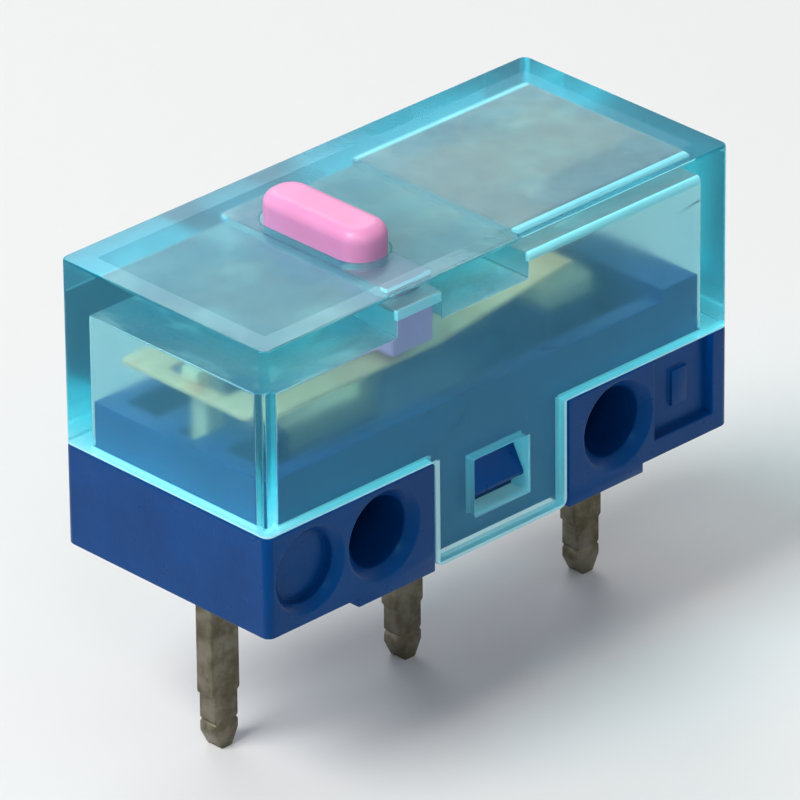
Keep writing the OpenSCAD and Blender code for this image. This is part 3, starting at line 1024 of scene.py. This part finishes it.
@dataclass
class Base:
    """The blue base: standoff pads, latch recesses, mounting holes and the rim inside the cover."""

    case: Case
    finish: MouldedPlastic
    root: float = 0.3 * MM
    pad_height: float = 0.2 * MM
    pad_length: float = 2.1 * MM
    pad_width: float = 1.2 * MM
    rim: float = 0.45 * MM
    rim_top: float = 3.45 * MM
    end_block_top: float = 3.7 * MM
    end_block_length: float = 1.0 * MM
    hook_seat_width: float = 0.95 * MM
    nub_reach: float = 0.47 * MM
    nub_root: float = 0.2 * MM
    nub_height: float = 0.85 * MM
    nub_lip: float = 0.1 * MM
    hole_radius: float = 0.75 * MM
    hole_pitch: float = 6.5 * MM
    hole_height: float = 1.35 * MM
    hole_chamfer: float = 0.22 * MM
    blind_x: float = -5.26 * MM
    blind_depth: float = 0.35 * MM
    blind_chamfer: float = 0.18 * MM
    panel_start: float = 4.29 * MM
    panel_end: float = 5.95 * MM
    panel_sill: float = 0.6 * MM
    panel_depth: float = 0.2 * MM
    mark_length: float = 0.45 * MM
    mark_height: float = 0.8 * MM
    mark_reach: float = 0.08 * MM
    mark_root: float = 0.1 * MM
    slot_play: float = 0.02 * MM
    edge: float = 0.03 * MM

    def build(self) -> None:
        """Makes the base."""
        base = self._body().join(*self._pads(), self._rim(), *self._seats())
        base.cut(*self._tab_recesses(), *self._round_recesses(), *self._panels())
        base.join(*self._nubs(), *self._marks())
        base.cut(*self._terminal_slots()).soften(self.edge, 2, 35)
        base.finish("base_moulding", self.finish, Body.CASE, Slot.BASE, "base")

    @property
    def recess_floor(self) -> float:
        """How far the floor of the latch recess is from the middle of the case."""
        return self.case.half_width - self.case.wall - self.case.fit_gap

    @property
    def panel_floor(self) -> float:
        """Where the floor of the square recess is."""
        return self.case.side + self.panel_depth

    @property
    def rim_length(self) -> float:
        """Half the outer length of the rim."""
        return self.case.cavity_length - self.case.fit_gap

    @property
    def rim_width(self) -> float:
        """Half the outer width of the rim."""
        return self.case.cavity_width - self.case.fit_gap

    def _body(self) -> Solid:
        """The block below the seam, with rounded upright corners."""
        body = Solid.block(*self.case.outline, (self.pad_height, self.case.seam))
        return body.bevel_upright(self.case.corner)

    def _pads(self) -> list[Solid]:
        """Four standoff pads, one modelled and three copied.

        Returns:
            The pads.
        """
        start, side = self.case.tab_room, self.case.side
        x, y = (start, start + self.pad_length), (side, side + self.pad_width)
        first = Solid.block(x, y, (0, self.pad_height + self.root))
        second = first.mirrored(Axis.X)
        return [first.mirrored(Axis.Y), second.mirrored(Axis.Y), first, second]

    def _rim(self) -> Solid:
        """The low wall that centres the cover, sunk to the floor inside.

        Returns:
            The rim.
        """
        seam, x, y = self.case.seam, about(0, self.rim_length), about(0, self.rim_width)
        rim = Solid.block(x, y, (seam - self.root, self.rim_top))
        fall = Vector((0, 0, seam - self.rim_top))
        with rim.editing(Element.FACE, lying_in(Axis.Z, self.rim_top)):
            bpy.ops.mesh.inset(thickness=self.rim, use_even_offset=True)
            bpy.ops.mesh.extrude_region_move(TRANSFORM_OT_translate={"value": fall})
        return rim

    def _seats(self) -> list[Solid]:
        """Blocks on the floor that carry the terminals.

        Returns:
            One at the contact end, one under the lower plate and one under the hook.
        """
        case, low = self.case, self.case.seam - self.root
        end, plate_top = self.rim_length, case.open_plate_top - case.sheet - self.slot_play
        hook_seat_end = -case.pin_pitch + case.pin_width / 2 + self.rim
        plate_x, plate_y = (case.plate_start, case.plate_end), (-case.nose_width / 2, case.jog_reach)
        rows = (
            ((end - self.end_block_length, end), about(0, self.rim_width), self.end_block_top),
            (plate_x, plate_y, plate_top),
            ((-end, hook_seat_end), about(0, self.hook_seat_width), self.rim_top),
        )
        return [Solid.block(x, y, (low, top)) for x, y, top in rows]

    def _tab_recesses(self) -> list[Solid]:
        """The two recesses that the cover's tabs slide into."""
        y = (self.case.side - CUT, -self.recess_floor)
        return Solid.block(about(0, self.case.tab_room), y, (-CUT, self.case.seam)).pair()

    def _nubs(self) -> list[Solid]:
        """Wedges that the windows of the cover snap over.

        Returns:
            Both wedges.
        """
        case, floor = self.case, -self.recess_floor
        top = case.window_top - case.fit_gap
        low = top - self.nub_height
        x = about(0, case.window_width / 2 - case.fit_gap)
        nub = Solid.block(x, (floor - self.nub_reach, floor + self.nub_root), (low, top))
        fall = (0, 0, self.nub_lip - self.nub_height)
        nub.shift(lambda v: v.co.z > top - WELD and v.co.y < floor, fall)
        nub.slice_at(Axis.Y, floor)
        upper = meeting(lying_in(Axis.Y, floor), lambda v: v.co.z > low + self.nub_lip)
        level = {"value": (1, 1, 0), "center_override": (0, floor, top)}
        return nub.edit(Element.CORNER, upper, bpy.ops.transform.resize, **level).pair()

    def _flare(self, drill: Solid, side: int, chamfer: float) -> None:
        """Opens one end of a drill out into a chamfer, and runs it past the side of the case.

        Args:
            drill: The drill, with its end face a chamfer short of the case's side.
            side: -1 or 1, the side that it points to.
            chamfer: Width of the chamfer.
        """
        grow, mouth = 1 + chamfer / self.hole_radius, side * self.case.half_width
        drill.extrude_face(Axis.Y, mouth - side * chamfer, (0, side * chamfer, 0), (grow, 1, grow))
        drill.extrude_face(Axis.Y, mouth, (0, side * CUT, 0))

    def _round_recesses(self) -> list[Solid]:
        """Two mounting holes through the base and a blind recess on each long side.

        Returns:
            The drills.
        """
        case, radius, chamfer = self.case, self.hole_radius, self.hole_chamfer
        centre = (-self.hole_pitch / 2, 0, self.hole_height)
        through = Solid.rod(centre, radius, 2 * (case.half_width - chamfer), Axis.Y)
        for side in (-1, 1):
            self._flare(through, side, chamfer)
        depth = self.blind_depth - self.blind_chamfer
        centre = (self.blind_x, case.side + self.blind_chamfer + depth / 2, self.hole_height)
        blind = Solid.rod(centre, radius, depth, Axis.Y)
        self._flare(blind, -1, self.blind_chamfer)
        return [through.copy((self.hole_pitch, 0, 0)), through, *blind.pair()]

    def _panels(self) -> list[Solid]:
        """The shallow square recess near the contact end, on both long sides."""
        x, y = (self.panel_start, self.panel_end), (self.case.side - CUT, self.panel_floor)
        return Solid.block(x, y, (self.panel_sill, self.case.seam + CUT)).pair()

    def _marks(self) -> list[Solid]:
        """The small raised pad in each square recess.

        Returns:
            Both pads.
        """
        floor = self.panel_floor
        x = about((self.panel_start + self.panel_end) / 2, self.mark_length / 2)
        z = about((self.panel_sill + self.case.seam) / 2, self.mark_height / 2)
        return Solid.block(x, (floor - self.mark_reach, floor + self.mark_root), z).pair()

    def _terminal_slots(self) -> list[Solid]:
        """Slots that the three terminals stand in.

        Returns:
            The slots, as tools.
        """
        case, play = self.case, self.slot_play
        half, thick = case.pin_width / 2 + play, about(0, case.sheet / 2 + play)
        shoulder = case.jog_height + case.sheet + play
        upright = (case.jog_reach - case.sheet - play, case.jog_reach + play)
        tools = [Solid.block(about(-case.pin_pitch, half), thick, (-CUT, self.end_block_top))]
        for x in (about(0, half), about(case.pin_pitch, half)):
            tools += [
                Solid.block(x, thick, (-CUT, shoulder)),
                Solid.block(x, (0, upright[1]), (case.jog_height - play, shoulder)),
                Solid.block(x, upright, (case.jog_height, self.end_block_top + CUT)),
            ]
        return tools


@dataclass
class Plunger:
    """The pink plunger: a round-cornered head above the roof and a bar foot below it."""

    case: Case
    finish: MouldedPlastic
    length: float = 3.0 * MM
    width: float = 1.1 * MM
    corner: float = 0.5 * MM
    crown: float = 0.28 * MM
    foot_top: float = 5.91 * MM
    foot_length: float = 4.3 * MM
    root: float = 0.2 * MM
    edge: float = 0.04 * MM

    def build(self) -> None:
        """Makes the plunger."""
        low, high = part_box("plunger")
        x = about(self.case.plunger_x, self.width / 2)
        head = Solid.block(x, about(0, self.length / 2), (self.foot_top - self.root, high.z))
        head.bevel_upright(self.corner, 10).bevel_edges(lying_in(Axis.Z, high.z), self.crown, 6)
        head.join(Solid.block(x, about(0, self.foot_length / 2), (low.z, self.foot_top)))
        head.soften(self.edge, 3, 50)
        head.finish("plunger_button", self.finish, Body.PLUNGER, Slot.PLUNGER, "plunger")


@dataclass
class Leg:
    """The part of a terminal below the base: stepped in, nicked and tapered at its tip."""

    case: Case
    step: float = 0.06 * MM
    step_height: float = 1.25 * MM
    nick: float = 0.05 * MM
    nick_height: float = 0.6 * MM
    taper: float = 0.18 * MM
    taper_height: float = 0.35 * MM

    def build(self, x: float, tip: float, top: float) -> Solid:
        """Makes the leg, growing it down from its full width.

        Args:
            x: Its place along the case.
            tip: Height of its tip.
            top: Height of its upper end.

        Returns:
            The leg.
        """
        width = self.case.pin_width / 2
        edge = width - self.step
        height, nick = tip + self.step_height, tip + self.nick_height
        outline = (
            (height - self.step, edge),
            (nick + self.nick, edge),
            (nick, edge - self.nick),
            (nick - self.nick, edge),
            (tip + self.taper_height, edge),
            (tip, edge - self.taper),
        )
        leg = Solid.block(about(x, width), about(0, self.case.sheet / 2), (height, top))
        for lower, narrower in outline:
            leg.extrude_face(Axis.Z, height, (0, 0, lower - height), (narrower / width, 1, 1))
            height, width = lower, narrower
        return leg


@dataclass
class Terminals:
    """The three stamped terminals."""

    case: Case
    finish: StampedMetal
    leg: Leg
    spine_top: float = 3.0 * MM
    post_start: float = -5.13 * MM
    post_width: float = 0.5 * MM
    hook_height: float = 0.25 * MM
    hook_reach: float = 0.25 * MM
    anchor_x: float = -1.15 * MM
    anchor_width: float = 0.5 * MM
    anchor_top: float = 3.9 * MM
    bend: float = 0.98
    edge: float = 0.03 * MM

    def build(self) -> None:
        """Makes all three."""
        rows = (
            (self._common, "terminal_common", "common_terminal"),
            (self._open, "terminal_low", "normally_open_terminal"),
            (self._closed, "terminal_high", "normally_closed_terminal"),
        )
        for shape, name, node in rows:
            solid = shape(*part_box(node)).soften(self.edge, 2, 25)
            solid.finish(name, self.finish, Body.CASE, Slot.TERMINAL, node)

    def _common(self, low: Vector, high: Vector) -> Solid:
        """The flat terminal with the hook for the blade and the anchor for its tongue.

        Args:
            low: The lowest corner of its box.
            high: The highest corner.

        Returns:
            The terminal.
        """
        case, start, end = self.case, self.post_start, self.post_start + self.post_width
        rows = (
            ((-case.pin_pitch, self.anchor_x), (case.seam, self.spine_top)),
            ((self.anchor_x - self.anchor_width, self.anchor_x), (case.seam, self.anchor_top)),
            ((start, end), (case.seam, high.z)),
            ((start - self.hook_reach, end), (high.z - self.hook_height, high.z)),
        )
        leg = self.leg.build(-case.pin_pitch, low.z, self.spine_top)
        return leg.join(*(Solid.block(x, about(0, case.sheet / 2), z) for x, z in rows))

    def _stepped(self, x: float, tip: float, top: float) -> Solid:
        """A leg in the middle of the case, its step to the side and its upright.

        Args:
            x: Its place along the case.
            tip: Height of its tip.
            top: Height of its upright.

        Returns:
            The lower part of the terminal.
        """
        case, wide = self.case, about(x, self.case.pin_width / 2)
        shoulder = case.jog_height + case.sheet
        leg = self.leg.build(x, tip, shoulder)
        step = Solid.block(wide, (0, case.jog_reach), (case.jog_height, shoulder))
        return leg.join(step, Solid.block(wide, self._upright, (case.jog_height, top)))

    @property
    def _upright(self) -> Span:
        """The span along Y of the sheet that stands beside the middle."""
        return self.case.jog_reach - self.case.sheet, self.case.jog_reach

    def _plate(self, end: float, top: float) -> Solid:
        """The plate bent over towards the middle, with the bend's outside rounded.

        Args:
            end: Its far end along the case.
            top: Height of its upper face.

        Returns:
            The plate.
        """
        case = self.case
        y = (-case.nose_width / 2, case.jog_reach)
        plate = Solid.block((case.plate_start, end), y, (top - case.sheet, top))
        outside = meeting(lying_in(Axis.Z, top), lying_in(Axis.Y, case.jog_reach))
        return plate.bevel_edges(outside, case.sheet * self.bend, 8)

    def _open(self, low: Vector, high: Vector) -> Solid:
        """The low terminal, its plate under the moving contact.

        Args:
            low: The lowest corner of its box.
            high: The highest corner.

        Returns:
            The terminal.
        """
        case, end = self.case, self.case.plate_end
        solid = self._stepped(0.0, low.z, self.spine_top)
        spine = Solid.block((-case.pin_width / 2, end), self._upright, (case.seam, self.spine_top))
        riser_height = (case.seam, high.z - case.sheet)
        riser = Solid.block((case.plate_start, end), self._upright, riser_height)
        return solid.join(spine, riser, self._plate(end, high.z))

    def _closed(self, low: Vector, high: Vector) -> Solid:
        """The tall terminal, its plate over the moving contact.

        Args:
            low: The lowest corner of its box.
            high: The highest corner.

        Returns:
            The terminal.
        """
        case = self.case
        solid = self._stepped(case.pin_pitch, low.z, high.z - case.sheet)
        return solid.join(self._plate(case.pin_pitch + case.pin_width / 2, high.z))


@dataclass
class SnapBlade:
    """The spring strip: two arms, a nose and the bowed tongue that makes it snap."""

    case: Case
    finish: StampedMetal
    sheet: float = 0.08 * MM
    low_face: float = 4.49 * MM
    high_face: float = 4.92 * MM
    half_width: float = 1.8 * MM
    arm_width: float = 0.95 * MM
    tongue_width: float = 0.9 * MM
    tongue_bow: float = 0.45 * MM
    hook_x: float = -5.16 * MM
    bend_x: float = -0.9 * MM
    nose_start: float = 2.6 * MM
    shoulder: float = 0.2 * MM
    corner: float = 0.15 * MM
    tongue_root: float = 2.75 * MM
    tongue_tip_x: float = -1.09 * MM
    tongue_tip: float = 3.68 * MM
    tongue_steps: int = 16
    edge: float = 0.012 * MM

    def build(self) -> None:
        """Makes the blade."""
        low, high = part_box("snap_blade")
        blade = self._strip(low.x, high.x).cut(*self._waste(high.x + CUT))
        blade.join(self._tongue()).soften(self.edge, 2, 50)
        blade.finish("blade_spring", self.finish, Body.BLADE, Slot.BLADE, "snap_blade")

    def _strip(self, start: float, end: float) -> Solid:
        """The whole strip, level at the hook and raised at the nose.

        Args:
            start: Where it starts along the case.
            end: Where it ends.

        Returns:
            The strip.
        """
        z = (self.low_face - self.sheet, self.low_face)
        strip = Solid.block((start, end), about(0, self.half_width), z).bevel_upright(self.corner, 4)
        strip.slice_at(Axis.X, self.bend_x, self.nose_start)
        rise = (0, 0, self.high_face - self.low_face)
        return strip.shift(lambda v: v.co.x > self.nose_start - LEVEL, rise)

    def _waste(self, end: float) -> list[Solid]:
        """What the press takes out: the window, the nose's two shoulders and the rivet hole.

        Args:
            end: A place along the case past the end of the strip.

        Returns:
            The punches.
        """
        case, z = self.case, (self.low_face - CUT, self.high_face + CUT)
        inner = about(0, self.half_width - self.arm_width)
        window = Solid.block((self.hook_x, self.nose_start), inner, z).bevel_upright(self.corner, 4)
        y = (case.nose_width / 2, self.half_width + CUT)
        beside = Solid.block((self.nose_start + self.shoulder, end), y, z)
        centre = (case.contact_x, 0, self.high_face)
        hole = Solid.rod(centre, case.shank_radius, 2 * CUT, sides=case.shank_sides)
        return [window, *beside.pair(), hole]

    def _tongue(self) -> Solid:
        """The bowed strip from the nose back to its tip on the anchor.

        Returns:
            The tongue.
        """
        root, run = self.tongue_root, self.tongue_tip_x - self.tongue_root
        z = (self.high_face - self.sheet, self.high_face)
        tongue = Solid.block((self.tongue_tip_x, root), about(0, self.tongue_width / 2), z)
        shares = [step / self.tongue_steps for step in range(1, self.tongue_steps + 1)]
        tongue.slice_at(Axis.X, *(root + run * share for share in shares[:-1]))
        fall = self.tongue_tip - self.high_face
        for share in shares:
            drop = fall * share + self.tongue_bow * 4 * share * (1 - share)
            tongue.shift(lying_in(Axis.X, root + run * share), (0, 0, drop))
        return tongue


@dataclass
class Contacts:
    """The rivet in the blade and the two fixed contacts it moves between."""

    case: Case
    finish: TurnedSilver
    radius: float = 0.45 * MM
    height: float = 0.22 * MM
    bevel: float = 0.1 * MM
    sides: int = 48

    def build(self) -> None:
        """Makes all three."""
        low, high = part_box("moving_contact")
        centre = (self.case.contact_x, 0, (low.z + high.z) / 2)
        length, sides = high.z - low.z - self.height, self.case.shank_sides
        shank = Solid.rod(centre, self.case.shank_radius, length, sides=sides)
        moving = self._head(high.z - self.height, high.z)
        moving.join(self._head(low.z + self.height, low.z), shank)
        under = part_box("normally_open_contact")[0].z
        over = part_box("normally_closed_contact")[1].z
        rows = (
            (moving, "contact_moving", Body.BLADE, "moving_contact"),
            (self._head(under, under + self.height), "contact_low", Body.CASE, "normally_open_contact"),
            (self._head(over, over - self.height), "contact_high", Body.CASE, "normally_closed_contact"),
        )
        for solid, name, body, node in rows:
            solid.smooth(30).finish(name, self.finish, body, Slot.CONTACT, node)

    def _head(self, seat: float, face: float) -> Solid:
        """A contact, with the edge of its face rounded over.

        Args:
            seat: Height of the metal that it sits on.
            face: Height of its face.

        Returns:
            The contact.
        """
        centre = (self.case.contact_x, 0, (seat + face) / 2)
        head = Solid.rod(centre, self.radius, self.height, sides=self.sides)
        return head.bevel_edges(lying_in(Axis.Z, face), self.bevel, 4)


# --- Studio ---


@dataclass(frozen=True)
class Spot:
    """A place round the switch: azimuth 0 faces its -Y side and -90 its -X end, in degrees."""

    azimuth: float
    elevation: float
    distance: float

    def stand(self, data: bpy.types.ID, target: Vector) -> bpy.types.Object:
        """Puts a lamp or camera there.

        Args:
            data: The lamp or camera.
            target: The point that it faces.

        Returns:
            Its object.
        """
        obj = bpy.data.objects.new(data.name, data)
        bpy.context.scene.collection.objects.link(obj)
        a, e = math.radians(self.azimuth), math.radians(self.elevation)
        back = Vector((math.sin(a) * math.cos(e), -math.cos(a) * math.cos(e), math.sin(e)))
        obj.location = target + back * self.distance
        obj.rotation_euler = (-back).to_track_quat("-Z", "Y").to_euler()
        return obj


@dataclass(frozen=True)
class Lamp:
    """A soft round panel of light that faces the switch."""

    name: str
    spot: Spot
    size: float
    power: float

    def place(self, target: Vector) -> None:
        """Adds the lamp.

        Args:
            target: The point that it faces.
        """
        light = bpy.data.lights.new(self.name, "AREA")
        light.shape, light.size, light.energy = "DISK", self.size, self.power
        self.spot.stand(light, target)


@dataclass
class Studio:
    """A pale floor, soft lamps, an even sky and the camera."""

    floor_size: float = 3.0
    floor_colour: Colour = (0.78, 0.78, 0.77)
    floor_mirror: float = 0.2
    fibres: Clouds = Clouds(0.4 * MM, 3, 0.6, MOST, (0.55, 0.65))
    sky: Colour = (0.93, 0.96, 1.0)
    sky_strength: float = 0.38
    lens: float = 452.0
    sensor: float = 36.0
    clip: Span = (0.01, 10.0)
    view: Spot = Spot(-43.9, 27.72, 0.2)
    roll: float = -0.62
    aim_height: float = 2.05 * MM
    lamps: tuple[Lamp, ...] = (
        Lamp("key", Spot(-98.0, 50.0, 0.34), 0.20, 1.0),
        Lamp("fill", Spot(-38.0, 40.0, 0.45), 0.12, 0.17),
        Lamp("rim", Spot(150.0, 40.0, 0.40), 0.25, 0.35),
    )

    def build(self) -> None:
        """Makes the studio round the switch."""
        self._floor()
        self._sky()
        target = Vector((0, 0, self.aim_height))
        for lamp in self.lamps:
            lamp.place(target)
        self._camera(target)

    def _floor(self) -> None:
        """The floor, at the tips of the terminals."""
        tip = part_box("common_terminal")[0].z
        bpy.ops.mesh.primitive_plane_add(size=self.floor_size, location=(0, 0, tip))
        floor = Solid().obj
        floor.name = "floor"
        recipe = Recipe("floor_paper")
        recipe.set(
            Base_Color=self.floor_colour,
            Roughness=recipe.spread(self.fibres),
            Specular_IOR_Level=self.floor_mirror,
        )
        floor.data.materials.append(recipe.material)

    def _sky(self) -> None:
        """An even sky: pale where it is seen, mirrored or seen through, softer as a light."""
        world = bpy.data.worlds.new("studio_sky")
        bpy.context.scene.world = world
        world.use_nodes = True
        sky = Nodes(world.node_tree)
        sky.tree.nodes.clear()
        path = sky.add("ShaderNodeLightPath").outputs
        seen = sky.either(*(path[f"Is {ray} Ray"] for ray in ("Camera", "Glossy", "Transmission")))
        light, pale = (
            sky.add("ShaderNodeBackground", {"Color": colour, "Strength": strength}).outputs[0]
            for colour, strength in ((self.sky, self.sky_strength), (self.floor_colour, 1.0))
        )
        sky.add("ShaderNodeOutputWorld", {"Surface": sky.mix(seen, light, pale)})

    def _camera(self, target: Vector) -> None:
        """The camera, at the angle that the switch is shown from.

        Args:
            target: The point that it looks at.
        """
        data = bpy.data.cameras.new("camera")
        data.lens, data.sensor_width = self.lens, self.sensor
        data.clip_start, data.clip_end = self.clip
        camera = bpy.context.scene.camera = self.view.stand(data, target)
        camera.rotation_euler.rotate_axis("Z", math.radians(self.roll))


def main() -> None:
    """Builds every piece and the studio, in order."""
    logging.basicConfig(level=logging.INFO, format="%(name)s %(message)s")
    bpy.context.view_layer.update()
    case = Case.from_frame()
    blue = MouldedPlastic(
        "blue_plastic", srgb(0, 58, 120), srgb(0, 50, 108), (0.27, 0.39),
        mirror=0.32, mirror_tint=(0.15, 0.55, 1.0),
    )
    pink = MouldedPlastic(
        "pink_plastic", srgb(235, 154, 203), srgb(230, 144, 193), (0.29, 0.41),
        subsurface=0.2, grain_depth=0.002 * MM,
    )
    # The dull dark grey below the base is partly painted shade, and the pale cream above it is painted
    # light.
    tin = StampedMetal(
        "tinned_sheet", srgb(128, 123, 108), srgb(92, 86, 68), (0.28, 0.46), (1, 1, 0.06), 0.85,
        lit_inner_colour=srgb(250, 226, 190),
    )
    spring = StampedMetal(
        "spring_strip", srgb(255, 210, 166), srgb(244, 188, 140), (0.36, 0.54), (0.05, 1, 1), 0.3
    )
    silver = TurnedSilver("silver", srgb(214, 212, 204), srgb(168, 158, 138), (case.contact_x, 0, 0))
    Cover(case).build()
    Base(case, blue).build()
    Plunger(case, pink).build()
    Terminals(case, tin, Leg(case)).build()
    SnapBlade(case, spring).build()
    Contacts(case, silver).build()
    Studio().build()
    bpy.context.scene.view_settings.view_transform = "Standard"


if __name__ == "__main__":
    main()
